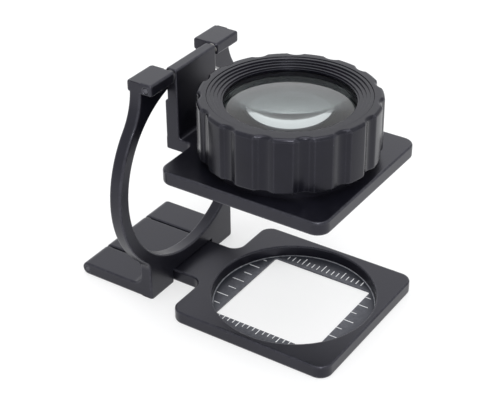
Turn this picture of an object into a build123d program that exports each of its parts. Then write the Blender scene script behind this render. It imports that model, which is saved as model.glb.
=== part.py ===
from build123d import *
import os
from math import sqrt

# Folding hand lens on a ring stand: base plate with an inch scale, stand, lens arm and focus barrel.
# +Z is up, -Y points towards the free ends of the plates, and X runs along both hinge pins.
# The origin is on the table, under the middle of the object. Units are millimetres.

os.makedirs("parts", exist_ok=True)

# Overall
LENGTH = 68.0  # back of the foot to the front of the base plate
HEIGHT = 55.0  # table to the top of the hinge blocks
BACK = LENGTH / 2  # Y of the back of the foot
PLATE = 3.1  # thickness of the base, the foot and the lens plate
PLATE_SIDE = 40.0  # side of the two square plates
PLATE_CORNER = 3.0
EDGE = 0.4  # softened outer edges
SLIDE_GAP = 0.1  # gap between faces that rest on each other in the two end positions
SEAT_GAP = 0.05  # gap behind a turned piece that stops just short of its neighbour

# Hinges
PIN_R = 0.7
PIN_RUN = 0.03  # running clearance on a pin
PIN_RECESS = 0.15  # each pin end sits this far below the side it shows in
TONGUE = 14.4  # width of the two moving hinge tongues
FORK_GAP = 15.6  # gap between the two lugs, and between the two blocks
STAND_W = 32.4  # over the lugs and over the blocks
EAR_W = (STAND_W - FORK_GAP) / 2
EAR_X = (STAND_W + FORK_GAP) / 4  # middle of a lug or a block
BASE_PIN = (BACK - PLATE / 2, PLATE / 2)  # Y, Z
KNUCKLE_R = 1.35
ARM_PIN = (12.4, HEIGHT - KNUCKLE_R)  # Y, Z
PIN_CHAMFER = 0.15
WASHER_R, WASHER_T = 1.2, 0.4
SPRING_T, SPRING_DISH = 0.25, 0.25

# Base plate and scale
BASE_Y = PLATE_SIDE / 2 - BACK  # middle of the base plate
INCH = 25.4
RECESS_R, RECESS_CHAMFER = 18.5, 0.25
DISC_R = 18.9
DISC_T = 0.45
BEAD_R, BEAD_W, BEAD_H = 18.15, 0.3, 0.15

# Ring stand
RING_FRONT = 13.8
RING_T = 3.0
RING_R = 25.1
HOLE_R = 22.0
RING_Z = 28.5
BLOCK_FRONT, BLOCK_BACK = 11.05, 17.6
BLOCK_Z = HEIGHT - 2 * KNUCKLE_R
SHOULDER_R, HEEL_R = 14.0, 3.5  # blends between the ring and its straight sides
INSTEP_R = 2.4  # blend between the top of the foot and the back of the ring

# Lens arm
ARM_Z = 35.3  # underside of the lens plate
ARM_TOP = ARM_Z + PLATE
LENS_Y = -12.5  # optical axis
PANEL_FRONT = ARM_PIN[0] - KNUCKLE_R
PANEL_BACK = 14.4  # thick lower half of the panel
PANEL_STEP = 47.3  # height where the panel gets thinner to clear the ring
PANEL_ROUND = 0.9  # blend between the lens plate and the front of the panel
NOTCH_R = 1.5
BASE_NOTCH_R = 2.8  # the base's neck runs out in a wider curve

# Focus barrel: radii
APERTURE_R = 14.0
LENS_R = 14.5
SPACER_IN = 14.0
CELL_R = 15.4
SLEEVE_IN = 15.45
SPIGOT_R = 16.4
SLEEVE_R = 17.2
GRIP_IN = 17.3
GRIP_R = 19.5
LOCK_R = 18.5
LIP_R = 13.9  # lip that carries the lower lens
THRUST_IN, THRUST_OUT = 15.6, 17.0
BEZEL_R, BEZEL_BORE = 17.3, 13.9
# Focus barrel: heights at rest
LOCK_T = 1.5
SLEEVE_TOP = 45.7
GRIP_Z, GRIP_TOP = 40.5, 53.0
SHOULDER_Z, SHOULDER_TOP = 47.9, 48.5
CELL_Z, CELL_TOP = 40.6, 50.9
FLANGE_Z, FLANGE_R = 48.7, 17.1
LENS_SEAT, LIP_T = 43.5, 0.8
LOWER_EDGE, LOWER_ROC = 1.3, 60.0  # edge thickness and radius of curvature
UPPER_SEAT = 48.5
UPPER_EDGE, UPPER_ROC, UNDER_ROC = 1.6, 60.0, 60.0  # edge, upper face, lower face
BEZEL_Z, BEZEL_TOP = 51.1, 52.85
BEZEL_STEPS, STEP_W, STEP_H = 4, 0.75, 0.28
# Focus barrel: grip, guide screw and slots
GRIP_ROUND, GRIP_CHAMFER = 1.0, 0.3
GROOVES, GROOVE_R, GROOVE_DEPTH, GROOVE_PHASE = 15, 2.6, 0.65, 4.0
TRAVEL = 2.0  # focusing travel each way
SCREW_Z, SCREW_R, TIP_R, TIP_DEPTH = 43.7, 0.7, 0.5, 0.45
DRIVE_W, DRIVE_DEPTH = 0.25, 0.3  # screwdriver slot in the guide screw
SLOT_R, SLOT_DEPTH = 0.55, 0.5  # guide slot in the lens cell
KEY_W, KEY_DEPTH = 1.2, 0.6  # spanner slots in the lock ring
RETAINER_KEY_W, RETAINER_KEY_DEPTH = 1.2, 0.25  # spanner slots in the lens retaining ring

lens_axis = Axis((0, LENS_Y, 0), (0, 0, 1))
lens_section = Plane(origin=(0, LENS_Y, 0), x_dir=(1, 0, 0), z_dir=(0, -1, 0))


def ring_section(r_in, r_out, low, high):
    """Section of a plain ring round the optical axis, for use inside a sketch on lens_section."""
    with Locations(((r_in + r_out) / 2, (low + high) / 2)):
        Rectangle(r_out - r_in, high - low)


def pin_rod(radius, length, at, mode=Mode.ADD):
    """Rod along X through a hinge axis, or its hole."""
    with Locations((0, at[0], at[1])):
        Cylinder(radius, length, rotation=(0, 90, 0), mode=mode)


def washer_section(at):
    """Plane through a hinge axis: local X runs along the pin and local Y away from it."""
    return Plane(origin=(0, at[0], at[1]), x_dir=(1, 0, 0), z_dir=(0, -1, 0))


def flat_washer():
    """Section of a plain washer against the -X ear, for use inside a sketch on washer_section."""
    with Locations((-(FORK_GAP - WASHER_T) / 2, (PIN_R + WASHER_R) / 2)):
        Rectangle(WASHER_T, WASHER_R - PIN_R)


def spring_washer():
    """Section of a dished washer whose rim bears on the +X ear, for use in the same way."""
    rim = FORK_GAP / 2
    Polygon((rim, WASHER_R), (rim - SPRING_T, WASHER_R),
            (rim - SPRING_T - SPRING_DISH, PIN_R), (rim - SPRING_DISH, PIN_R), align=None)


def near(point, reach=0.3):
    """Filter for edges or vertices whose centre lies near a point, with X taken without its sign."""

    def test(shape):
        c = shape.center()
        return (Vector(abs(c.X), c.Y, c.Z) - Vector(*point)).length < reach

    return test


# ---------------------------------------------------------------- base

with BuildPart() as base_plate:
    with BuildSketch() as base_outline:
        with Locations((0, BASE_Y)):
            Rectangle(PLATE_SIDE, PLATE_SIDE)
        fillet(base_outline.vertices(), PLATE_CORNER)
        neck_start = BASE_Y + PLATE_SIDE / 2
        with Locations((0, (neck_start - PLATE_CORNER + BASE_PIN[0]) / 2)):
            Rectangle(TONGUE, BASE_PIN[0] - neck_start + PLATE_CORNER)
        fillet(base_outline.vertices().filter_by(near((TONGUE / 2, neck_start, 0))), BASE_NOTCH_R)
    extrude(amount=PLATE)
    for face in (base_plate.faces().sort_by(Axis.Z)[-1], base_plate.faces().sort_by(Axis.Z)[0]):
        fillet(face.edges().filter_by(lambda e: e.center().Y < neck_start + 1), EDGE)
    pin_rod(PLATE / 2, TONGUE, BASE_PIN)
    pin_rod(PIN_R + PIN_RUN, TONGUE, BASE_PIN, Mode.SUBTRACT)
    with BuildSketch():
        with Locations((0, BASE_Y)):
            Circle(RECESS_R)
    extrude(amount=PLATE, mode=Mode.SUBTRACT)
    chamfer(base_plate.edges().filter_by(GeomType.CIRCLE).group_by(Axis.Z)[-1]
            .filter_by(lambda e: e.radius > PLATE_CORNER), RECESS_CHAMFER)
    with BuildSketch():
        with Locations((0, BASE_Y)):
            Circle(DISC_R)
    extrude(amount=DISC_T, mode=Mode.SUBTRACT)
base_plate.part.label = "base_plate"
export_step(base_plate.part, "parts/base_plate.step")

with BuildPart() as scale_disc:
    with BuildSketch():
        with Locations((0, BASE_Y)):
            Circle(DISC_R)
    extrude(amount=DISC_T)
    with BuildSketch(Plane.XY.offset(DISC_T)):
        with Locations((0, BASE_Y)):
            Circle(BEAD_R + BEAD_W)
            Circle(BEAD_R, mode=Mode.SUBTRACT)
    extrude(amount=BEAD_H)
    with BuildSketch():
        with Locations((0, BASE_Y)):
            Rectangle(INCH, INCH)
    extrude(amount=DISC_T + BEAD_H, mode=Mode.SUBTRACT)
scale_disc.part.label = "scale_disc"
export_step(scale_disc.part, "parts/scale_disc.step")

# ---------------------------------------------------------------- ring stand

junction = sqrt(RING_R**2 - (STAND_W / 2) ** 2)  # where the ring crosses its straight sides

with BuildPart() as ring_stand:
    with BuildSketch(Plane.XZ.offset(-RING_FRONT - RING_T)) as ring_outline:
        with Locations((0, RING_Z)):
            Circle(RING_R)
        with Locations((0, HEIGHT / 2)):
            Rectangle(STAND_W, HEIGHT)
        shoulder = (STAND_W / 2, RING_FRONT + RING_T, RING_Z + junction)
        heel = (STAND_W / 2, RING_FRONT + RING_T, RING_Z - junction)
        fillet(ring_outline.vertices().filter_by(near(shoulder)), SHOULDER_R)
        fillet(ring_outline.vertices().filter_by(near(heel)), HEEL_R)
        with Locations((0, RING_Z)):
            Circle(HOLE_R, mode=Mode.SUBTRACT)
        with Locations((0, HEIGHT)):
            Rectangle(FORK_GAP, 2 * (HEIGHT - BLOCK_Z + SLIDE_GAP), mode=Mode.SUBTRACT)
        Rectangle(FORK_GAP, 2 * (PLATE + SLIDE_GAP), mode=Mode.SUBTRACT)
    extrude(amount=RING_T)
    rims = ring_stand.edges().filter_by(GeomType.CIRCLE)
    fillet(rims.filter_by(lambda e: e.radius in (HOLE_R, RING_R)), EDGE)
    for side in (-1, 1):
        with Locations((side * EAR_X, (RING_FRONT + BASE_PIN[0]) / 2, PLATE / 2)):
            Box(EAR_W, BASE_PIN[0] - RING_FRONT, PLATE)
        with Locations((side * EAR_X, BASE_PIN[0], BASE_PIN[1])):
            Cylinder(PLATE / 2, EAR_W, rotation=(0, 90, 0))
        with Locations((side * EAR_X, (BLOCK_FRONT + BLOCK_BACK) / 2, (BLOCK_Z + HEIGHT) / 2)):
            Box(EAR_W, BLOCK_BACK - BLOCK_FRONT, HEIGHT - BLOCK_Z)
        with BuildSketch(Plane.YZ.offset(side * EAR_X - EAR_W / 2)):
            with Locations((RING_FRONT + RING_T + INSTEP_R / 2, PLATE + INSTEP_R / 2)):
                Rectangle(INSTEP_R, INSTEP_R)
            with Locations((RING_FRONT + RING_T + INSTEP_R, PLATE + INSTEP_R)):
                Circle(INSTEP_R, mode=Mode.SUBTRACT)
        extrude(amount=EAR_W)
    for y in (BLOCK_FRONT, BLOCK_BACK):
        fillet(ring_stand.edges().filter_by(near((EAR_X, y, HEIGHT))), EDGE)
    for at in (BASE_PIN, ARM_PIN):
        pin_rod(PIN_R, STAND_W, at, Mode.SUBTRACT)
ring_stand.part.label = "ring_stand"
export_step(ring_stand.part, "parts/ring_stand.step")

# ---------------------------------------------------------------- hinge hardware

with BuildPart() as base_hinge_pin:
    pin_rod(PIN_R, STAND_W - 2 * PIN_RECESS, BASE_PIN)
    chamfer(base_hinge_pin.edges().filter_by(GeomType.CIRCLE), PIN_CHAMFER)
base_hinge_pin.part.label = "base_hinge_pin"
export_step(base_hinge_pin.part, "parts/base_hinge_pin.step")

with BuildPart() as arm_hinge_pin:
    pin_rod(PIN_R, STAND_W - 2 * PIN_RECESS, ARM_PIN)
    chamfer(arm_hinge_pin.edges().filter_by(GeomType.CIRCLE), PIN_CHAMFER)
arm_hinge_pin.part.label = "arm_hinge_pin"
export_step(arm_hinge_pin.part, "parts/arm_hinge_pin.step")

with BuildPart() as base_hinge_washer:
    with BuildSketch(washer_section(BASE_PIN)):
        flat_washer()
    revolve(axis=Axis((0, *BASE_PIN), (1, 0, 0)))
base_hinge_washer.part.label = "base_hinge_washer"
export_step(base_hinge_washer.part, "parts/base_hinge_washer.step")

with BuildPart() as arm_hinge_washer:
    with BuildSketch(washer_section(ARM_PIN)):
        flat_washer()
    revolve(axis=Axis((0, *ARM_PIN), (1, 0, 0)))
arm_hinge_washer.part.label = "arm_hinge_washer"
export_step(arm_hinge_washer.part, "parts/arm_hinge_washer.step")

with BuildPart() as base_hinge_spring:
    with BuildSketch(washer_section(BASE_PIN)):
        spring_washer()
    revolve(axis=Axis((0, *BASE_PIN), (1, 0, 0)))
base_hinge_spring.part.label = "base_hinge_spring"
export_step(base_hinge_spring.part, "parts/base_hinge_spring.step")

with BuildPart() as arm_hinge_spring:
    with BuildSketch(washer_section(ARM_PIN)):
        spring_washer()
    revolve(axis=Axis((0, *ARM_PIN), (1, 0, 0)))
arm_hinge_spring.part.label = "arm_hinge_spring"
export_step(arm_hinge_spring.part, "parts/arm_hinge_spring.step")

# ---------------------------------------------------------------- lens arm

with BuildPart() as lens_arm:
    with BuildSketch(Plane.XY.offset(ARM_Z)) as arm_outline:
        with Locations((0, LENS_Y)):
            Rectangle(PLATE_SIDE, PLATE_SIDE)
        fillet(arm_outline.vertices(), PLATE_CORNER)
        root = LENS_Y + PLATE_SIDE / 2
        with Locations((0, (root - PLATE_CORNER + PANEL_BACK) / 2)):
            Rectangle(TONGUE, PANEL_BACK - root + PLATE_CORNER)
        fillet(arm_outline.vertices().filter_by(near((TONGUE / 2, root, ARM_Z))), NOTCH_R)
    extrude(amount=PLATE)
    for face in (lens_arm.faces().sort_by(Axis.Z)[-1], lens_arm.faces().sort_by(Axis.Z)[0]):
        fillet(face.edges().filter_by(lambda e: e.center().Y < root + 1), EDGE)
    with BuildSketch(Plane.YZ.offset(-TONGUE / 2)):
        with Locations(((PANEL_FRONT + PANEL_BACK) / 2, (ARM_Z + PANEL_STEP) / 2)):
            Rectangle(PANEL_BACK - PANEL_FRONT, PANEL_STEP - ARM_Z)
        with Locations((ARM_PIN[0], (ARM_Z + ARM_PIN[1]) / 2)):
            Rectangle(2 * KNUCKLE_R, ARM_PIN[1] - ARM_Z)
        with Locations(ARM_PIN):
            RectangleRounded(2 * KNUCKLE_R, 2 * KNUCKLE_R, EDGE)
    extrude(amount=TONGUE)
    fillet(lens_arm.edges().filter_by(near((0, PANEL_FRONT, ARM_TOP))), PANEL_ROUND)
    pin_rod(PIN_R + PIN_RUN, TONGUE, ARM_PIN, Mode.SUBTRACT)
    with BuildSketch(Plane.XY.offset(ARM_Z)):
        with Locations((0, LENS_Y)):
            Circle(SPIGOT_R)
    extrude(amount=PLATE, mode=Mode.SUBTRACT)
    with BuildSketch(Plane.XY.offset(ARM_Z)):
        with Locations((0, LENS_Y)):
            Circle(LOCK_R)
    extrude(amount=LOCK_T, mode=Mode.SUBTRACT)
lens_arm.part.label = "lens_arm"
export_step(lens_arm.part, "parts/lens_arm.step")

with BuildPart() as focus_sleeve:
    with BuildSketch(lens_section):
        ring_section(SLEEVE_IN, SPIGOT_R, ARM_Z + SLIDE_GAP, ARM_TOP)
        ring_section(SLEEVE_IN, SLEEVE_R, ARM_TOP, SLEEVE_TOP)
    revolve(axis=lens_axis)
    with BuildSketch(Plane.XZ.offset(-LENS_Y - SLEEVE_R)):
        with Locations((0, SCREW_Z)):
            Circle(SCREW_R)
    extrude(amount=SLEEVE_R - LENS_R, mode=Mode.SUBTRACT)
focus_sleeve.part.label = "focus_sleeve"
export_step(focus_sleeve.part, "parts/focus_sleeve.step")

with BuildPart() as sleeve_lock_ring:
    with BuildSketch(lens_section):
        ring_section(SPIGOT_R, LOCK_R, ARM_Z + SLIDE_GAP, ARM_Z + LOCK_T)
    revolve(axis=lens_axis)
    with Locations((0, LENS_Y, ARM_Z)):
        with PolarLocations((SPIGOT_R + LOCK_R) / 2, 4):
            Box(KEY_W, KEY_W, 2 * KEY_DEPTH, mode=Mode.SUBTRACT)
sleeve_lock_ring.part.label = "sleeve_lock_ring"
export_step(sleeve_lock_ring.part, "parts/sleeve_lock_ring.step")

with BuildPart() as guide_screw:
    with BuildSketch(Plane.XZ.offset(-LENS_Y - SLEEVE_R)):
        with Locations((0, SCREW_Z)):
            Circle(SCREW_R)
    extrude(amount=SLEEVE_R - SLEEVE_IN - SEAT_GAP)
    with BuildSketch(Plane.XZ.offset(-LENS_Y - SLEEVE_R)):
        with Locations((0, SCREW_Z)):
            Circle(TIP_R)
    extrude(amount=SLEEVE_R - CELL_R + TIP_DEPTH)
    with BuildSketch(Plane.XZ.offset(-LENS_Y - SLEEVE_R)):
        with Locations((0, SCREW_Z)):
            Rectangle(2 * SCREW_R, DRIVE_W)
    extrude(amount=DRIVE_DEPTH, mode=Mode.SUBTRACT)
guide_screw.part.label = "guide_screw"
export_step(guide_screw.part, "parts/guide_screw.step")

# ---------------------------------------------------------------- lens cell

with BuildPart() as lens_cell:
    with BuildSketch(lens_section):
        ring_section(LENS_R, CELL_R, CELL_Z, CELL_TOP)
        ring_section(LIP_R, CELL_R, LENS_SEAT - LIP_T, LENS_SEAT)
        ring_section(LENS_R, FLANGE_R, FLANGE_Z, CELL_TOP)
    revolve(axis=lens_axis)
    with BuildSketch(Plane.XZ.offset(-LENS_Y - CELL_R)):
        with Locations((0, SCREW_Z)):
            SlotCenterToCenter(2 * TRAVEL, 2 * SLOT_R, rotation=90)
    extrude(amount=SLOT_DEPTH, mode=Mode.SUBTRACT)
lens_cell.part.label = "lens_cell"
export_step(lens_cell.part, "parts/lens_cell.step")


def rise(radius, roc):
    """Height of a domed lens face over its own rim, at a radius from the axis."""
    return sqrt(roc**2 - radius**2) - sqrt(roc**2 - LENS_R**2)


def lens_outline(low, high, roc_high, roc_low=None):
    """Half section of a lens with its edge from low to high, for use inside a BuildLine."""
    crown, bottom = high + rise(0, roc_high), low
    if roc_low:
        bottom = low - rise(0, roc_low)
        ThreePointArc((0, bottom), (LENS_R / 2, low - rise(LENS_R / 2, roc_low)), (LENS_R, low))
    else:
        Line((0, low), (LENS_R, low))
    Line((LENS_R, low), (LENS_R, high))
    ThreePointArc((LENS_R, high), (LENS_R / 2, high + rise(LENS_R / 2, roc_high)), (0, crown))
    Line((0, crown), (0, bottom))


with BuildPart() as lower_lens:
    with BuildSketch(lens_section):
        with BuildLine():
            lens_outline(LENS_SEAT, LENS_SEAT + LOWER_EDGE, LOWER_ROC)
        make_face()
    revolve(axis=lens_axis)
lower_lens.part.label = "lower_lens"
export_step(lower_lens.part, "parts/lower_lens.step")

with BuildPart() as lens_spacer:
    with BuildSketch(lens_section):
        spacer_z = LENS_SEAT + LOWER_EDGE + rise(SPACER_IN, LOWER_ROC)
        ring_section(SPACER_IN, LENS_R, spacer_z, UPPER_SEAT - rise(SPACER_IN, UNDER_ROC))
    revolve(axis=lens_axis)
lens_spacer.part.label = "lens_spacer"
export_step(lens_spacer.part, "parts/lens_spacer.step")

with BuildPart() as upper_lens:
    with BuildSketch(lens_section):
        with BuildLine():
            lens_outline(UPPER_SEAT, UPPER_SEAT + UPPER_EDGE, UPPER_ROC, UNDER_ROC)
        make_face()
    revolve(axis=lens_axis)
upper_lens.part.label = "upper_lens"
export_step(upper_lens.part, "parts/upper_lens.step")

with BuildPart() as lens_retaining_ring:
    with BuildSketch(lens_section):
        retainer_z = UPPER_SEAT + UPPER_EDGE + rise(APERTURE_R, UPPER_ROC)
        ring_section(APERTURE_R, LENS_R, retainer_z, CELL_TOP - SEAT_GAP)
    revolve(axis=lens_axis)
    with Locations((0, LENS_Y, CELL_TOP)):
        with PolarLocations(APERTURE_R, 2, start_angle=45):
            Box(RETAINER_KEY_W, RETAINER_KEY_W, 2 * RETAINER_KEY_DEPTH, mode=Mode.SUBTRACT)
lens_retaining_ring.part.label = "lens_retaining_ring"
export_step(lens_retaining_ring.part, "parts/lens_retaining_ring.step")

# ---------------------------------------------------------------- focus grip

groove_axis_r = GRIP_R - GROOVE_DEPTH + GROOVE_R

with BuildPart() as focus_grip:
    with BuildSketch(lens_section):
        ring_section(GRIP_IN, GRIP_R, GRIP_Z, GRIP_TOP)
        ring_section(SPIGOT_R, GRIP_IN, SHOULDER_Z, SHOULDER_TOP)
    revolve(axis=lens_axis)
    outer_rims = focus_grip.edges().filter_by(GeomType.CIRCLE).filter_by(lambda e: e.radius == GRIP_R)
    fillet(outer_rims.sort_by(Axis.Z)[-1], GRIP_ROUND)
    outer_rims = focus_grip.edges().filter_by(GeomType.CIRCLE).filter_by(lambda e: e.radius == GRIP_R)
    chamfer(outer_rims.sort_by(Axis.Z)[0], GRIP_CHAMFER)
    with Locations((0, LENS_Y, (GRIP_Z + GRIP_TOP) / 2)):
        with PolarLocations(groove_axis_r, GROOVES, start_angle=GROOVE_PHASE):
            Cylinder(GROOVE_R, GRIP_TOP - GRIP_Z + 1, mode=Mode.SUBTRACT)
focus_grip.part.label = "focus_grip"
export_step(focus_grip.part, "parts/focus_grip.step")

with BuildPart() as eyepiece_bezel:
    with BuildSketch(lens_section):
        for k in range(BEZEL_STEPS):
            top = BEZEL_TOP - k * STEP_H
            ring_section(BEZEL_BORE, BEZEL_R - k * STEP_W, BEZEL_Z, top - STEP_H)
            ring_section(BEZEL_R - (k + 1) * STEP_W, BEZEL_R - k * STEP_W, BEZEL_Z, top)
    revolve(axis=lens_axis)
eyepiece_bezel.part.label = "eyepiece_bezel"
export_step(eyepiece_bezel.part, "parts/eyepiece_bezel.step")

with BuildPart() as thrust_washers:
    with BuildSketch(lens_section):
        ring_section(THRUST_IN, THRUST_OUT, SHOULDER_TOP, FLANGE_Z - SEAT_GAP)
        ring_section(THRUST_IN, THRUST_OUT, CELL_TOP + SEAT_GAP, BEZEL_Z)
    revolve(axis=lens_axis)
thrust_washers.part.label = "thrust_washers"
export_step(thrust_washers.part, "parts/thrust_washers.step")
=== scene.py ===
from math import atan2, cos, hypot, pi, radians, sin, sqrt

import bpy
import numpy as np
from mathutils import Matrix, Vector


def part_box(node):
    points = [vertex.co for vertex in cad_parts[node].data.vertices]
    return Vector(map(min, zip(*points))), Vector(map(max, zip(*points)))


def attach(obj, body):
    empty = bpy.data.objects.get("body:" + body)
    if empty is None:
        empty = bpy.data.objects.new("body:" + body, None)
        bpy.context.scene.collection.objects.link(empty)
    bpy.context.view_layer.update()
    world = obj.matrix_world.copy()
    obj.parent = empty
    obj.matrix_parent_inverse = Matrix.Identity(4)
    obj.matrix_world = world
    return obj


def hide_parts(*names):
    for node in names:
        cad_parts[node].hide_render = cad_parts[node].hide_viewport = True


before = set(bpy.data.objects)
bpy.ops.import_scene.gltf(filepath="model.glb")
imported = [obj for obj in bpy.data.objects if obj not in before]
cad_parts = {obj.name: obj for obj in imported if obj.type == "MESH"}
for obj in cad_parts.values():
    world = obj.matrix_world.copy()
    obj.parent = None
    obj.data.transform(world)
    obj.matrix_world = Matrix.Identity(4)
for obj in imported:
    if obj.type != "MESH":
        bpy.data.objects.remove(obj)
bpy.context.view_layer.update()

MM = 0.001  # shapes below are written in millimetres and scaled when they become meshes


def span(node):
    """A CAD node's box in millimetres: low corner, high corner."""
    low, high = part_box(node)
    return np.array(low) / MM, np.array(high) / MM


# ---------------------------------------------------------------- distance fields


def rmax(a, b, k):
    """Intersection of two fields with a rounded edge of radius k."""
    return np.minimum(-k, np.maximum(a, b)) + np.hypot(np.maximum(k + a, 0), np.maximum(k + b, 0))


def block(x, y, cx, cy, hx, hy, r):
    """Rectangle with half sides hx, hy and corner radius r."""
    qx, qy = np.abs(x - cx) - hx + r, np.abs(y - cy) - hy + r
    return np.hypot(np.maximum(qx, 0), np.maximum(qy, 0)) + np.minimum(np.maximum(qx, qy), 0) - r


def cove(field, a, b, k):
    """Swaps in the exact concave fillet of radius k between the half planes a < 0 and b < 0."""
    return np.where((a < k) & (b < k) & (a > -k) & (b > -k), k - np.hypot(k - a, k - b), field)


def slope(field, p, e=0.01):
    """Gradient of a field at points p."""
    out = np.empty_like(p)
    for axis in range(3):
        step = np.zeros(3)
        step[axis] = e
        out[:, axis] = (field(*(p + step).T) - field(*(p - step).T)) / (2 * e)
    return out


def bend(field, p, e=0.12):
    """Laplacian of a field: near 0 on flats and 1 / radius on a rounded edge."""
    total = -6 * field(*p.T)
    for axis in range(3):
        step = np.zeros(3)
        step[axis] = e
        total += field(*(p + step).T) + field(*(p - step).T)
    return total / e**2


def settle(field, p, rounds=4):
    """Moves points onto the field's zero surface."""
    for _ in range(rounds):
        g = slope(field, p)
        p = p - g * (field(*p.T) / np.maximum((g * g).sum(1), 0.2))[:, None]
    return p


def surface_net(field, low, high, step):
    """Quads over the zero surface of a field, found with surface nets."""
    low = np.array(low, float) - 4 * step
    blocks = np.ceil((np.array(high) + 4 * step - low) / (4 * step)).astype(int)
    middles = [low[a] + step * (4 * np.arange(blocks[a]) + 1.5) for a in range(3)]
    coarse = field(*np.meshgrid(*middles, indexing="ij"))

    def fine(values):
        return values.repeat(4, 0).repeat(4, 1).repeat(4, 2)

    grid = fine(np.sign(coarse).astype(np.float32))
    spots = np.nonzero(fine(np.abs(coarse) < 4.5 * step))
    grid[spots] = field(*(low[a] + step * spots[a] for a in range(3)))
    inside = grid < 0
    corners = np.array([(i, j, k) for i in (0, 1) for j in (0, 1) for k in (0, 1)])
    shape = np.array(grid.shape) - 1
    count = np.zeros(shape, np.int8)
    for i, j, k in corners:
        count += inside[i : i + shape[0], j : j + shape[1], k : k + shape[2]]
    cells = np.argwhere((count > 0) & (count < 8))
    total, hits = np.zeros(cells.shape), np.zeros(len(cells))
    for a in corners:
        for b in corners:
            if (b - a).min() < 0 or (b - a).sum() != 1:
                continue
            fa, fb = grid[tuple((cells + a).T)], grid[tuple((cells + b).T)]
            cut = (fa < 0) != (fb < 0)
            t = np.where(cut, fa / np.where(cut, fa - fb, 1), 0)
            total += cut[:, None] * (a + t[:, None] * (b - a))
            hits += cut
    points = low + step * (cells + total / hits[:, None])
    number = np.full(shape, -1)
    number[tuple(cells.T)] = np.arange(len(cells))
    quads = []
    for axis in range(3):
        u, v = np.zeros(3, int), np.zeros(3, int)
        u[(axis + 1) % 3], v[(axis + 2) % 3] = 1, 1
        here = np.moveaxis(inside, axis, 0)
        found = np.argwhere(here[:-1] != here[1:])
        into = here[:-1][tuple(found.T)]
        n = np.roll(found, axis, 1) if axis != 1 else found[:, [1, 0, 2]]
        if axis == 2:
            n = found[:, [1, 2, 0]]
        ring = np.stack([number[tuple((n - o).T)] for o in (0 * u, u, u + v, v)], 1)
        quads.append(np.where(into[:, None], ring, ring[:, ::-1]))
    return points, np.concatenate(quads)


# ---------------------------------------------------------------- meshes


def link(name, mesh, body, slot, material, *nodes):
    """Adds a piece to the scene, ties it to its body and hides the CAD nodes it replaces; the slot argument is
    not used.
    """
    piece = bpy.data.objects.new(name, mesh)
    bpy.context.scene.collection.objects.link(piece)
    mesh.materials.append(material)
    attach(piece, body)
    if nodes:
        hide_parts(*nodes)
    return piece


def to_mesh(name, points, faces, normals=None, wear_and_highlight=None):
    """Smooth mesh from points in millimetres, with its own normals and an edge value for wear and painted
    highlight.
    """
    mesh = bpy.data.meshes.new(name)
    mesh.from_pydata((np.asarray(points) * MM).tolist(), [], [list(map(int, f)) for f in faces])
    mesh.polygons.foreach_set("use_smooth", [True] * len(mesh.polygons))
    value = mesh.attributes.new("wear_and_highlight", "FLOAT", "POINT")
    value.data.foreach_set("value", np.zeros(len(points)) if wear_and_highlight is None else np.asarray(wear_and_highlight, float))
    mesh.update()
    if normals is not None:
        mesh.normals_split_custom_set_from_vertices(np.asarray(normals).tolist())
    return mesh


def cast(name, field, low, high, step):
    """Mesh of a field, with exact normals and a mask on its rounded edges for wear and painted highlight."""
    points, quads = surface_net(field, low, high, step)
    points = settle(field, points)
    normals = slope(field, points)
    normals /= np.linalg.norm(normals, axis=1)[:, None]
    wear_and_highlight = np.clip((bend(field, points) - 0.6) / 1.8, 0, 1)
    return to_mesh(name, points, quads, normals, wear_and_highlight)


def rounded(corners, arc_step=15):
    """Closed outline with rounded corners, from (x, y, radius): points, outward normals, edge values for wear
    and painted highlight.
    """
    points, normals, wear_and_highlight = [], [], []
    for i, (x, y, r) in enumerate(corners):
        p = Vector((x, y))
        before = (p - Vector(corners[i - 1][:2])).normalized()
        after = (Vector(corners[(i + 1) % len(corners)][:2]) - p).normalized()
        turn = atan2(before.x * after.y - before.y * after.x, before.dot(after))
        run = r * abs(sin(turn / 2) / cos(turn / 2))
        start = p - before * run
        steps = max(1, round(abs(turn) / radians(arc_step)))
        side = 1 if turn > 0 else -1
        centre = start + Vector((-before.y, before.x)) * r * side
        for k in range(steps + 1):
            a = turn * k / steps
            t = Vector((before.x * cos(a) - before.y * sin(a), before.x * sin(a) + before.y * cos(a)))
            out = Vector((t.y, -t.x))
            points.append(tuple(centre + out * r * side))
            normals.append(tuple(out))
            wear_and_highlight.append(sin(pi * k / steps) if side > 0 and r > 0.07 else 0)
    return points, normals, wear_and_highlight


def spin(outline, centre, axis="z", segments=192):
    """Turned piece: a closed outline (radius, height) spun about an axis through centre."""
    profile, slopes, wear_and_highlight = outline
    n, points, normals, values = len(profile), [], [], []
    for k in range(segments):
        c, s = cos(2 * pi * k / segments), sin(2 * pi * k / segments)
        for (r, h), (nr, nh), w in zip(profile, slopes, wear_and_highlight):
            p, q = (r * c, r * s, h), (nr * c, nr * s, nh)
            if axis == "x":
                p, q = (p[2], p[0], p[1]), (q[2], q[0], q[1])
            points.append([a + b for a, b in zip(p, centre)])
            normals.append(q)
            values.append(w)
    faces = []
    for k in range(segments):
        a, b = k * n, (k + 1) % segments * n
        for i in range(n):
            j = (i + 1) % n
            faces.append((a + i, b + i, b + j, a + j))
    return points, faces, normals, values


def trace(field, rays, centre, segments):
    """Closed ring of quads: rays (radius, height, dr, dh) from inside the piece meet its field."""
    rays = np.array(rays, float)
    angles = 2 * pi * np.arange(segments) / segments
    c, s = np.cos(angles)[:, None], np.sin(angles)[:, None]
    r, h, dr, dh = rays.T
    start = np.stack([r * c, r * s, h + 0 * c], 2).reshape(-1, 3) + centre
    way = np.stack([dr * c, dr * s, dh + 0 * c], 2).reshape(-1, 3)
    t = np.zeros(len(start))
    for _ in range(80):
        t -= field(*(start + way * t[:, None]).T)
    points = start + way * t[:, None]
    n, faces = len(rays), []
    for k in range(segments):
        a, b = k * n, (k + 1) % segments * n
        faces += [(a + i, b + i, b + (i + 1) % n, a + (i + 1) % n) for i in range(n)]
    return points, faces


# ---------------------------------------------------------------- materials


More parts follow.
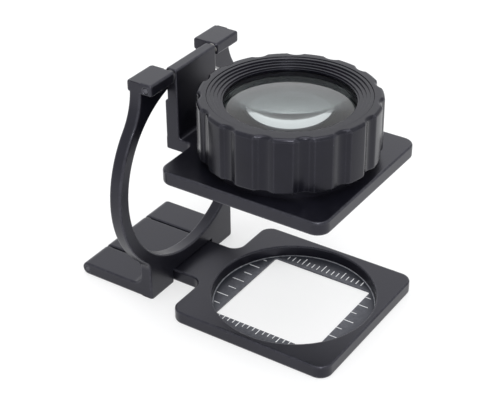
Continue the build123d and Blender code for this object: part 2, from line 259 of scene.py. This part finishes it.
def shader(name):
    """New material: its node tree, its Principled shader and a coordinate in metres."""
    material = bpy.data.materials.new(name)
    material.use_nodes = True
    tree = material.node_tree
    for node in list(tree.nodes):
        tree.nodes.remove(node)
    out = tree.nodes.new("ShaderNodeOutputMaterial")
    principled = tree.nodes.new("ShaderNodeBsdfPrincipled")
    tree.links.new(principled.outputs["BSDF"], out.inputs["Surface"])
    place = tree.nodes.new("ShaderNodeTexCoord").outputs["Object"]
    return material, tree, principled, place


def noise(tree, place, size, detail=2.0, rough=0.5):
    """Noise with blobs of about the given size in millimetres."""
    node = tree.nodes.new("ShaderNodeTexNoise")
    node.inputs["Scale"].default_value = 1 / (size * MM)
    node.inputs["Detail"].default_value = detail
    node.inputs["Roughness"].default_value = rough
    tree.links.new(place, node.inputs["Vector"])
    return node.outputs["Fac"]


def remap(tree, value, low, high, to_low, to_high):
    node = tree.nodes.new("ShaderNodeMapRange")
    for key, number in (("From Min", low), ("From Max", high), ("To Min", to_low), ("To Max", to_high)):
        node.inputs[key].default_value = number
    tree.links.new(value, node.inputs["Value"])
    return node.outputs["Result"]


def maths(tree, kind, a, b):
    node = tree.nodes.new("ShaderNodeMath")
    node.operation = kind
    for socket, value in zip(node.inputs, (a, b)):
        if isinstance(value, (int, float)):
            socket.default_value = value
        else:
            tree.links.new(value, socket)
    return node.outputs[0]


def blend_colour(tree, factor, a, b):
    node = tree.nodes.new("ShaderNodeMix")
    node.data_type = "RGBA"
    tree.links.new(factor, node.inputs["Factor"])
    for socket, value in ((node.inputs["A"], a), (node.inputs["B"], b)):
        if isinstance(value, tuple):
            socket.default_value = (*value, 1)
        else:
            tree.links.new(value, socket)
    return node.outputs["Result"]


def bump(tree, shader_node, height, strength, depth):
    node = tree.nodes.new("ShaderNodeBump")
    node.inputs["Strength"].default_value = strength
    node.inputs["Distance"].default_value = depth * MM
    tree.links.new(height, node.inputs["Height"])
    tree.links.new(node.outputs["Normal"], shader_node.inputs["Normal"])


def coating(name, dark, light, rough, grain=0.09, depth=0.012, worn_and_highlight_colour=(0.055, 0.055, 0.065), wear_and_highlight_share=0.6,
            specular=0.5, tint=(0.87, 0.86, 1.0)):
    """Black coating on blasted metal: fine grain, cloudy tone and gloss; rounded edges glossier and lighter,
    partly thin worn coating and partly a painted highlight.
    """
    material, tree, p, place = shader(name)
    fine = noise(tree, place, grain, 3.0, 0.6)
    cloud = noise(tree, place, 7.0, 4.0, 0.55)
    speck = noise(tree, place, 0.45, 2.0, 0.5)
    tone = blend_colour(tree, remap(tree, cloud, 0.3, 0.7, 0, 1), dark, light)
    tone = blend_colour(tree, remap(tree, speck, 0.62, 0.75, 0, 0.35), tone, tuple(1.7 * c for c in light))
    # Lighter colour on rounded edges: partly wear, partly a painted highlight standing in for the light the
    # edges catch.
    edge = tree.nodes.new("ShaderNodeAttribute")
    edge.attribute_name = "wear_and_highlight"
    rub_and_highlight = maths(tree, "MULTIPLY", edge.outputs["Fac"],
                remap(tree, noise(tree, place, 0.8, 4.0, 0.7), 0.35, 0.7, 0.35 * wear_and_highlight_share, wear_and_highlight_share))
    tree.links.new(blend_colour(tree, rub_and_highlight, tone, worn_and_highlight_colour), p.inputs["Base Color"])
    gloss = maths(tree, "ADD", remap(tree, cloud, 0.3, 0.7, rough - 0.03, rough + 0.03),
                  remap(tree, fine, 0.3, 0.7, -0.03, 0.03))
    gloss = maths(tree, "SUBTRACT", gloss, maths(tree, "MULTIPLY", edge.outputs["Fac"], 0.06))
    tree.links.new(gloss, p.inputs["Roughness"])
    p.inputs["IOR"].default_value = 1.5
    p.inputs["Specular IOR Level"].default_value = specular
    p.inputs["Specular Tint"].default_value = (*tint, 1)
    bump(tree, p, fine, 0.35, depth)
    return material


def metal(name, dark, light, rough):
    """Bare metal with fine marks and a little tarnish."""
    material, tree, p, place = shader(name)
    marks = noise(tree, place, 0.12, 3.0, 0.6)
    cloud = noise(tree, place, 1.6, 3.0, 0.5)
    tone = remap(tree, cloud, 0.35, 0.65, 0, 1)
    tree.links.new(blend_colour(tree, tone, dark, light), p.inputs["Base Color"])
    tree.links.new(remap(tree, marks, 0.3, 0.7, rough - 0.08, rough + 0.08), p.inputs["Roughness"])
    p.inputs["Metallic"].default_value = 1.0
    bump(tree, p, marks, 0.4, 0.006)
    return material


def paint(name, dark, light, rough):
    """Filled white paint or moulded plastic with a slightly uneven tone."""
    material, tree, p, place = shader(name)
    cloud = noise(tree, place, 0.5, 3.0, 0.6)
    tone = remap(tree, cloud, 0.3, 0.7, 0, 1)
    tree.links.new(blend_colour(tree, tone, dark, light), p.inputs["Base Color"])
    tree.links.new(remap(tree, cloud, 0.3, 0.7, rough - 0.05, rough + 0.05), p.inputs["Roughness"])
    bump(tree, p, noise(tree, place, 0.08), 0.3, 0.006)
    return material


def glass(name, colour):
    """Polished lens glass with faint handling marks."""
    material, tree, p, place = shader(name)
    haze = noise(tree, place, 3.0, 5.0, 0.65)
    tree.links.new(remap(tree, haze, 0.5, 0.8, 0.0, 0.008), p.inputs["Roughness"])
    tree.links.new(blend_colour(tree, remap(tree, haze, 0.3, 0.7, 0, 1), colour,
                                tuple(min(1, 1.01 * c) for c in colour)), p.inputs["Base Color"])
    p.inputs["IOR"].default_value = 1.52
    p.inputs["Transmission Weight"].default_value = 1.0
    return material


black = coating("black_anodised", (0.0032, 0.0032, 0.0055), (0.0065, 0.0065, 0.0105), 0.32,
                 specular=0.45)
grip_black = coating("grip_black", (0.002, 0.002, 0.0035), (0.0045, 0.0045, 0.0075), 0.23,
                      grain=0.07, depth=0.006, specular=0.33)
inner_black = coating("inner_black", (0.006, 0.006, 0.007), (0.010, 0.010, 0.012), 0.55, specular=0.3)
# The scale disc's bead and window edge are painted light grey: a painted highlight of the bead's lit line.
scale_black = coating("scale_black", (0.013, 0.015, 0.020), (0.026, 0.028, 0.036), 0.38, grain=0.16,
                      depth=0.016, worn_and_highlight_colour=(0.42, 0.43, 0.46), wear_and_highlight_share=1.0)
tick_white = paint("tick_white", (0.84, 0.85, 0.86), (0.94, 0.95, 0.96), 0.5)
steel = metal("pin_steel", (0.05, 0.05, 0.06), (0.11, 0.11, 0.125), 0.30)
spring_steel = metal("spring_steel", (0.25, 0.24, 0.23), (0.38, 0.37, 0.36), 0.38)
nylon = paint("washer_plastic", (0.035, 0.035, 0.038), (0.05, 0.05, 0.054), 0.5)
lens_glass = glass("optical_glass", (0.87, 0.93, 0.92))
material_of_slot = {"black_anodised": black, "grip_black": grip_black, "inner_black": inner_black,
                    "scale_black": scale_black, "pin_steel": steel, "spring_steel": spring_steel,
                    "washer_plastic": nylon, "optical_glass": lens_glass}

# ---------------------------------------------------------------- places read from the CAD boxes

base_low, base_high = span("base_plate")
stand_low, stand_high = span("ring_stand")
arm_low, arm_high = span("lens_arm")
grip_low, grip_high = span("focus_grip")
pin_b_low, pin_b_high = span("base_hinge_pin")
pin_a_low, pin_a_high = span("arm_hinge_pin")
bezel_low, bezel_high = span("eyepiece_bezel")

PLATE = base_high[2] - base_low[2]
HALF = base_high[0]  # half the side of the square plates
EDGE = 0.45  # rounding of the plates' outer edges
TONGUE = 7.3  # half width of the hinge tongues
FORK = 7.7  # half the gap between the ears
SIDE = pin_b_high[0] + 0.15  # half width over the ears
TOP = stand_high[2]
base_pin = (pin_b_low[1:] + pin_b_high[1:]) / 2
arm_pin = (pin_a_low[1:] + pin_a_high[1:]) / 2
base_y = base_low[1] + HALF
lens_y = (grip_low[1] + grip_high[1]) / 2
PIN_R = (pin_b_high[2] - pin_b_low[2]) / 2
PIN_RUN = 0.03  # clearance of the turning tongues round their pins
KNUCKLE = 1.35  # half side of the arm's knuckle and of the blocks beside it

# ---------------------------------------------------------------- base plate and scale

RECESS_R = 18.5
DISC_T = 0.45
SEAT_R = RECESS_R + 0.4  # undercut that holds the scale disc's rim
BASE_NOTCH = 2.8  # concave curve between the base's neck and its square
ARM_NOTCH = 1.5
NECK_RUN = 6.0  # how far the neck reaches into the square


def square_with_neck(x, y, middle, back_edge, notch, corner=3.0):
    """Square plate with a hinge neck that runs off its back edge."""
    plate = block(x, y, 0, middle, HALF, HALF, corner)
    neck = np.abs(x) - TONGUE
    edge = y - back_edge
    return cove(np.minimum(plate, np.maximum(neck, back_edge - NECK_RUN - y)), neck, edge, notch)


def base_field(x, y, z):
    flat = square_with_neck(x, y, base_y, base_y + HALF, BASE_NOTCH)
    end = np.hypot(np.maximum(y - base_pin[0], 0), z - base_pin[1]) - PLATE / 2
    body = rmax(flat, end, EDGE)
    ring = np.hypot(x, y - base_y)
    body = rmax(body, RECESS_R - ring, 0.3)
    body = np.maximum(body, -np.maximum(ring - SEAT_R, z - DISC_T))
    return np.maximum(body, PIN_R + PIN_RUN - np.hypot(y - base_pin[0], z - base_pin[1]))


link("base_plate_body", cast("base_plate_body", base_field, base_low, base_high, 0.25),
     "base", "black_anodised", black, "base_plate")

# ---------------------------------------------------------------- ring stand

ring_front, ring_back = 13.8, 16.8
ring_z, ring_r, hole_r = 28.5, stand_high[0], 22.0
block_front, block_back = arm_pin[0] - KNUCKLE, 17.4
SHOULDER_R, HEEL_R = 14.0, 3.5  # concave blends from the ring to its straight sides
INSTEP_R = 2.4  # concave blend from the foot up to the ring
WALL_TOP = 6.5  # top of the ears behind the ring plate
FORK_TOP = 0.1  # the fork is cut this far above the base plate's thickness
BLOCK_CUT = 2.8  # depth of the gap between the two top blocks
FOOT_ROUND, EAR_ROUND, BLOCK_ROUND = 0.7, 0.45, 0.55


def ring_outline(x, z):
    """Outline of the ring plate: a circle with straight sides blended in at shoulder and heel."""
    x = np.abs(x)
    d = np.minimum(np.hypot(x, z - ring_z) - ring_r, x - SIDE)
    for radius, up in ((SHOULDER_R, 1), (HEEL_R, -1)):
        cx = SIDE + radius
        cz = ring_z + up * sqrt((ring_r + radius) ** 2 - cx**2)
        away = np.array((cx, cz - ring_z)) / hypot(cx, cz - ring_z)
        side = ((x - cx) * away[1] - (z - cz) * away[0]) * up
        inside = (x < cx) & ((z - cz) * up < 0) & (side < 0)
        d = np.where(inside, radius - np.hypot(x - cx, z - cz), d)
    return d


def stand_field(x, y, z):
    ax = np.abs(x)
    ring = rmax(ring_outline(x, z), hole_r - np.hypot(x, z - ring_z), 0.25)
    ring = rmax(ring, np.abs(y - (ring_front + ring_back) / 2) - (ring_back - ring_front) / 2, EDGE)
    ear_x = np.abs(ax - (FORK + SIDE) / 2) - (SIDE - FORK) / 2
    slab = np.hypot(np.maximum(y - base_pin[0], 0), z - base_pin[1]) - PLATE / 2
    wall = np.maximum(y - ring_back, z - WALL_TOP)
    foot = cove(np.minimum(slab, wall), y - ring_back, z - PLATE, INSTEP_R)
    foot = rmax(np.maximum(foot, -z), ring_front - y, FOOT_ROUND)
    foot = rmax(foot, ear_x, EAR_ROUND)
    ring = np.maximum(ring, -np.maximum(ax - FORK, z - PLATE - FORK_TOP))
    ring = np.maximum(ring, -np.maximum(ax - FORK, TOP - BLOCK_CUT - z))
    top = rmax(rmax(np.abs(y - (block_front + block_back) / 2) - (block_back - block_front) / 2,
                    np.abs(z - TOP + KNUCKLE) - KNUCKLE, BLOCK_ROUND), ear_x, BLOCK_ROUND)
    body = np.minimum(np.minimum(ring, foot), top)
    body = np.maximum(np.maximum(body, z - TOP), -z)
    for at in (base_pin, arm_pin):
        body = np.maximum(body, PIN_R - np.hypot(y - at[0], z - at[1]))
    return body


link("ring_stand_body", cast("ring_stand_body", stand_field, stand_low, stand_high, 0.25),
     "stand", "black_anodised", black, "ring_stand")

# ---------------------------------------------------------------- lens arm

panel_front, panel_back, panel_step = arm_pin[0] - KNUCKLE, 14.4, 47.3
arm_z, plate_top = arm_low[2], arm_low[2] + PLATE
PANEL_BLEND = 0.9  # concave curve between the lens plate and the panel's front
STEP_ROUND = 0.6  # top of the panel's thick lower half
PANEL_REACH = 2.0  # how far the panel's foot runs into the lens plate
SLEEVE_R, LOCK_R, LOCK_T = 16.4, 18.5, 1.5  # bores for the focus sleeve and its lock ring


def arm_field(x, y, z):
    flat = square_with_neck(x, y, lens_y, lens_y + HALF, ARM_NOTCH)
    plate = rmax(flat, np.abs(z - arm_z - PLATE / 2) - PLATE / 2, EDGE)
    plate = np.maximum(plate, y - panel_back)
    front = panel_front - y
    panel = np.maximum(front, rmax(y - panel_back, z - panel_step, STEP_ROUND))
    knuckle = rmax(np.abs(y - arm_pin[0]) - KNUCKLE, z - arm_pin[1] - KNUCKLE, EDGE)
    wall = np.minimum(panel, knuckle)
    profile = cove(np.minimum(wall, z - plate_top), front, z - plate_top, PANEL_BLEND)
    profile = np.maximum(profile, np.maximum(arm_z - z, y - panel_back))
    profile = np.maximum(profile, panel_front - PANEL_REACH - y)
    tongue = rmax(profile, np.abs(x) - TONGUE, 0.35)
    body = np.minimum(plate, tongue)
    ring = np.hypot(x, y - lens_y)
    body = np.maximum(body, SLEEVE_R - ring)
    body = np.maximum(body, -np.maximum(ring - LOCK_R, z - arm_z - LOCK_T))
    return np.maximum(body, PIN_R + PIN_RUN - np.hypot(y - arm_pin[0], z - arm_pin[1]))


link("lens_arm_body", cast("lens_arm_body", arm_field, arm_low, arm_high, 0.25),
     "arm", "black_anodised", black, "lens_arm")

# ---------------------------------------------------------------- scale disc with its ticks

INCH = 25.4
TWENTIETH, EIGHTH = 1.315, 3.29  # pitches, about 3.5 percent over 1/20 and 1/8 inch
BEAD_IN, BEAD_OUT = 18.15, 18.45  # raised line round the disc


def scale_disc_mesh():
    """Flat disc with a square window, a bead round its rim and fine rounded edges."""
    segments = 240
    window, points, normals, wear_and_highlight = INCH / 2, [], [], []
    # Last number of each row: edge value for wear and painted highlight; the bead's top gets the full painted
    # highlight.
    rim = [(BEAD_IN, DISC_T, 0, 1, 0), (BEAD_IN + 0.02, 0.57, -0.7, 0.7, 1), (BEAD_IN + 0.07, 0.6, 0, 1, 1),
           (BEAD_OUT - 0.07, 0.6, 0, 1, 1), (BEAD_OUT - 0.02, 0.57, 0.7, 0.7, 1), (BEAD_OUT, DISC_T, 0, 1, 0),
           (SEAT_R - 0.05, DISC_T, 0, 1, 0), (SEAT_R, DISC_T - 0.05, 1, 0, 0), (SEAT_R, 0.05, 1, 0, 0),
           (SEAT_R - 0.05, 0.0, 0, -1, 0)]  # radius, height, outward and upward lean, wear
    edge = [(0.05, 0.0, 0, -1, 0), (0.0, 0.05, -1, 0, 0), (0.0, DISC_T - 0.05, -1, 0, 0.5),
            (0.05, DISC_T, 0, 1, 0.5)]  # the same for the window, with its distance instead of a radius
    for k in range(segments):
        a = 2 * pi * (k + 0.5) / segments
        c, s = cos(a), sin(a)
        out = 1 / max(abs(c), abs(s))
        nx, ny = (np.sign(c), 0) if abs(c) > abs(s) else (0, np.sign(s))
        for inset, h, dn, dz, w in edge:
            r = (window + inset) * out
            points.append((r * c, base_y + r * s, h))
            normals.append((nx * dn, ny * dn, dz))
            wear_and_highlight.append(w * 0.5)
        for r, h, dn, dz, w in rim:
            points.append((r * c, base_y + r * s, h))
            normals.append((c * dn, s * dn, dz))
            wear_and_highlight.append(w)
    n = len(rim) + len(edge)
    faces = []
    for k in range(segments):
        a, b = k * n, (k + 1) % segments * n
        faces += [(b + i, a + i, a + (i + 1) % n, b + (i + 1) % n) for i in range(n)]
    return to_mesh("scale_disc_body", points, faces, normals, wear_and_highlight)


link("scale_disc_body", scale_disc_mesh(), "base", "scale_black", scale_black, "scale_disc")


def ticks():
    """White filled lines: the fine scale on the window's two X sides, the coarse one on its two Y sides."""
    points, faces = [], []
    wide, low, high, reach = 0.1, DISC_T - 0.02, DISC_T + 0.02, 17.95
    half = INCH / 2

    def bar(x0, x1, y0, y1):
        k = len(points)
        points.extend([(x, y, z) for z in (low, high) for x, y in ((x0, y0), (x1, y0), (x1, y1), (x0, y1))])
        faces.extend([(k + 4, k + 5, k + 6, k + 7), (k + 3, k + 2, k + 1, k)])
        faces.extend([(k + i, k + (i + 1) % 4, k + 4 + (i + 1) % 4, k + 4 + i) for i in range(4)])

    for side, start, short, long in ((1, 0.95, 1.6, 2.5), (-1, 0.08, 1.1, 1.8)):
        for k in range(-8, 9):
            y = base_y + 0.85 + TWENTIETH * k
            far = min(half + start + (short if k % 4 else long), sqrt(reach**2 - (y - base_y) ** 2))
            if far > half + start + 0.3:
                a, b = sorted((side * (half + start), side * far))
                bar(a, b, y - wide, y + wide)
    for side, start, short, long in ((1, 1.1, 2.05, 3.05), (-1, 0.08, 1.35, 2.4)):
        for k in range(-4, 5):
            x = 0.46 + EIGHTH * k
            far = min(half + start + (short if k % 2 else long), sqrt(reach**2 - x**2))
            if far > half + start + 0.3:
                a, b = sorted((base_y + side * (half + start), base_y + side * far))
                bar(x - wide, x + wide, a, b)
    return to_mesh("scale_ticks", points, faces)


tick_mesh = ticks()
tick_mesh.polygons.foreach_set("use_smooth", [False] * len(tick_mesh.polygons))
link("scale_ticks", tick_mesh, "base", "scale_black", tick_white)

# ---------------------------------------------------------------- hinge pins


def pin_outline(half):
    """Half section of a pin whose two ends are peened into a small lip."""
    dimple, lip_in, lip_out = 0.62, 0.80, 0.98
    end = half + 0.15
    return rounded([(0.001, -end - 0.05, 0.0), (dimple, -end - 0.03, 0.12), (dimple + 0.05, -end + 0.12, 0.05),
                    (0.74, -end + 0.12, 0.05), (lip_in, -end - 0.04, 0.07), (lip_out, -end - 0.04, 0.07),
                    (lip_out, -end + 0.1, 0.02), (PIN_R, -end + 0.1, 0.02), (PIN_R, end - 0.1, 0.02),
                    (lip_out, end - 0.1, 0.02), (lip_out, end + 0.04, 0.07), (lip_in, end + 0.04, 0.07),
                    (0.74, end - 0.12, 0.05), (dimple + 0.05, end - 0.12, 0.05), (dimple, end + 0.03, 0.12),
                    (0.001, end + 0.05, 0.0)], 30)


for name, at, node in (("base_pin_peened", base_pin, "base_hinge_pin"),
                       ("arm_pin_peened", arm_pin, "arm_hinge_pin")):
    shape = spin(pin_outline(pin_b_high[0]), (0, at[0], at[1]), "x", 40)
    link(name, to_mesh(name, *shape), "stand", "pin_steel", steel, node)

# ---------------------------------------------------------------- focus grip

GROOVES, GROOVE_R, GROOVE_DEPTH, GROOVE_PHASE = 15, 2.6, 0.68, 4.0  # phase in degrees
FLUTE_ROUND, RIM_ROUND, FOOT_RIM_ROUND = 0.5, 0.8, 0.35
grip_r, grip_z, grip_top = 19.5, grip_low[2], grip_high[2]
bezel_z, bezel_top, bezel_r, bore = bezel_low[2], bezel_high[2], 17.3, 13.9


def grip_field(x, y, z):
    y = y - lens_y
    ring = np.hypot(x, y)
    pitch = 2 * pi / GROOVES
    a = (np.arctan2(y, x) - radians(GROOVE_PHASE) + pitch / 2) % pitch - pitch / 2
    centre = grip_r - GROOVE_DEPTH + GROOVE_R
    groove = GROOVE_R - np.hypot(ring * np.cos(a) - centre, ring * np.sin(a))
    body = rmax(ring - grip_r, groove, FLUTE_ROUND)
    body = rmax(body, z - grip_top, RIM_ROUND)
    body = rmax(body, grip_z - z, FOOT_RIM_ROUND)
    return np.maximum(body, bezel_r - ring)


def grip_rays():
    """Rays round the grip's section: outer wall, top rim, inner bore and bottom edge."""
    rays = [(18.2, z, 1, 0) for z in np.linspace(grip_z + 1.0, grip_top - 1.6, 14)]
    rays += [(18.2, grip_top - 1.5, cos(a), sin(a)) for a in np.linspace(0.08, pi / 2, 14)]
    rays += [(r, grip_top - 1.5, 0, 1) for r in (18.0, 17.8, 17.6, 17.45)]
    rays += [(17.8, z, -1, 0) for z in (grip_top - 0.12, grip_top - 0.4, grip_top - 1.5, grip_top - 5.1)]
    rays += [(17.8, z, -1, 0) for z in (grip_z + 5.0, grip_z + 0.3, grip_z + 0.1)]
    rays += [(r, grip_z + 1.0, 0, -1) for r in (17.45, 17.6, 17.9, 18.2)]
    rays += [(18.2, grip_z + 1.0, cos(a), sin(a)) for a in np.linspace(-pi / 2 + 0.1, -0.1, 10)]
    return rays


grip_points, grip_faces = trace(grip_field, grip_rays(), (0, lens_y, 0), 900)
grip_normals = slope(grip_field, grip_points)
grip_normals /= np.linalg.norm(grip_normals, axis=1)[:, None]
grip_wear_and_highlight = np.clip((bend(grip_field, grip_points) - 0.5) / 2.0, 0, 1)
link("focus_grip_body", to_mesh("focus_grip_body", grip_points, grip_faces, grip_normals, grip_wear_and_highlight),
     "grip", "grip_black", grip_black, "focus_grip")

# ---------------------------------------------------------------- eyepiece bezel

STEPS, STEP_W, STEP_H = 4, 0.75, 0.28
outline = [(bore, bezel_z, 0.05), (bezel_r, bezel_z, 0.05), (bezel_r, bezel_top, 0.12)]
for k in range(STEPS):
    r, h = bezel_r - (k + 1) * STEP_W, bezel_top - k * STEP_H
    outline += [(r, h, 0.09), (r, h - STEP_H, 0.05)]
outline += [(bore, bezel_top - STEPS * STEP_H, 0.09)]
link("eyepiece_bezel_body",
     to_mesh("eyepiece_bezel_body", *spin(rounded(outline, 18), (0, lens_y, 0))),
     "grip", "grip_black", grip_black, "eyepiece_bezel")

# ---------------------------------------------------------------- lenses

UPPER_LENS = (48.5, 50.1, 60.0, 60.0)  # edge from, edge to, lower and upper radius of curvature
LOWER_LENS = (43.5, 44.8, 0, 60.0)  # flat below
BEVEL = 0.1  # ground edge of a lens


def lens_mesh(name, low, high, roc_low, roc_high, radius=14.5, rings=40, segments=160):
    """Lens with its edge from low to high and a dome on each side (radius of curvature, or 0 for flat)."""

    def rise(roc, r):
        return sqrt(roc**2 - r**2) - sqrt(roc**2 - radius**2) if roc else 0.0

    def lean(roc, r):
        return r / roc if roc else 0.0

    face = [(radius - BEVEL) * i / rings for i in range(rings + 1)]
    profile = [(r, low - rise(roc_low, r), lean(roc_low, r), -1) for r in face]
    profile += [(radius, low + BEVEL, 1, 0), (radius, high - BEVEL, 1, 0)]
    profile += [(r, high + rise(roc_high, r), lean(roc_high, r), 1) for r in reversed(face)]
    points, normals = [(0, lens_y, profile[0][1])], [(0, 0, -1)]
    middle = profile[1:-1]
    for k in range(segments):
        c, s = cos(2 * pi * k / segments), sin(2 * pi * k / segments)
        points += [(r * c, lens_y + r * s, h) for r, h, _, _ in middle]
        normals += [Vector((nr * c, nr * s, nh)).normalized()[:] for _, _, nr, nh in middle]
    points.append((0, lens_y, profile[-1][1]))
    normals.append((0, 0, 1))
    n, faces = len(middle), []
    for k in range(segments):
        a, b = 1 + k * n, 1 + (k + 1) % segments * n
        faces.append((0, b, a))
        faces += [(a + i, b + i, b + i + 1, a + i + 1) for i in range(n - 1)]
        faces.append((a + n - 1, b + n - 1, len(points) - 1))
    return to_mesh(name, points, faces, normals)


link("upper_lens_glass", lens_mesh("upper_lens_glass", *UPPER_LENS), "cell", "optical_glass",
     lens_glass, "upper_lens")
link("lower_lens_glass", lens_mesh("lower_lens_glass", *LOWER_LENS), "cell", "optical_glass",
     lens_glass, "lower_lens")

# ---------------------------------------------------------------- carried-over CAD pieces

kept = {"focus_sleeve": "black_anodised", "sleeve_lock_ring": "black_anodised", "guide_screw": "pin_steel",
        "lens_cell": "inner_black", "lens_spacer": "inner_black", "lens_retaining_ring": "inner_black",
        "thrust_washers": "washer_plastic", "base_hinge_washer": "washer_plastic",
        "arm_hinge_washer": "washer_plastic", "base_hinge_spring": "spring_steel",
        "arm_hinge_spring": "spring_steel"}
for node, slot in kept.items():
    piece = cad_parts[node]
    for material_slot in piece.material_slots:
        material_slot.link = "OBJECT"
        material_slot.material = material_of_slot[slot]

# ---------------------------------------------------------------- floor, light and camera

floor_mesh = bpy.data.meshes.new("floor")
half = 2.0  # metres
floor_mesh.from_pydata([(-half, -half, 0), (half, -half, 0), (half, half, 0), (-half, half, 0)], [],
                       [(0, 1, 2, 3)])
floor = bpy.data.objects.new("floor", floor_mesh)
bpy.context.scene.collection.objects.link(floor)
floor_white, tree, p, place = shader("floor_white")
cloud = noise(tree, place, 60.0, 3.0)
tree.links.new(blend_colour(tree, cloud, (0.40, 0.40, 0.40), (0.44, 0.44, 0.44)), p.inputs["Base Color"])
p.inputs["Roughness"].default_value = 0.7
p.inputs["Specular IOR Level"].default_value = 0.2
p.inputs["Emission Color"].default_value = (1.0, 1.0, 1.0, 1)
p.inputs["Emission Strength"].default_value = 0.55
floor_mesh.materials.append(floor_white)

world = bpy.data.worlds.new("studio")
bpy.context.scene.world = world
world.use_nodes = True
sky = world.node_tree.nodes["Background"]
sky.inputs["Color"].default_value = (0.97, 0.98, 1.0, 1)
sky.inputs["Strength"].default_value = 0.75


def softbox(name, at, target, size, power):
    """Square area light that faces a point."""
    data = bpy.data.lights.new(name, "AREA")
    data.shape, data.size, data.energy = "SQUARE", size, power
    lamp = bpy.data.objects.new(name, data)
    bpy.context.scene.collection.objects.link(lamp)
    lamp.location = at
    lamp.rotation_euler = (Vector(target) - Vector(at)).to_track_quat("-Z", "Y").to_euler()
    lamp.visible_transmission = False


softbox("overhead", (-0.10, -0.15, 1.10), (0, 0, 0.02), 0.8, 5.0)
softbox("back_right", (0.92, 0.61, 0.72), (0, 0, 0.03), 1.3, 3.0)
softbox("front_left", (-0.95, -0.75, 1.05), (0, 0, 0.02), 0.4, 8.0)

camera_data = bpy.data.cameras.new("camera")
camera_data.lens, camera_data.sensor_width = 95.12, 36.0
camera_data.clip_start, camera_data.clip_end = 0.01, 10.0
camera = bpy.data.objects.new("camera", camera_data)
bpy.context.scene.collection.objects.link(camera)
camera.location = (-0.2061, -0.1388, 0.1788)
aim = Vector((-0.01543, -0.0126, 0.03533)) - camera.location
turn = aim.to_track_quat("-Z", "Y").to_matrix() @ Matrix.Rotation(radians(-0.47), 3, "Z")
camera.rotation_euler = turn.to_euler()
bpy.context.scene.camera = camera
bpy.context.scene.view_settings.view_transform = "Standard"
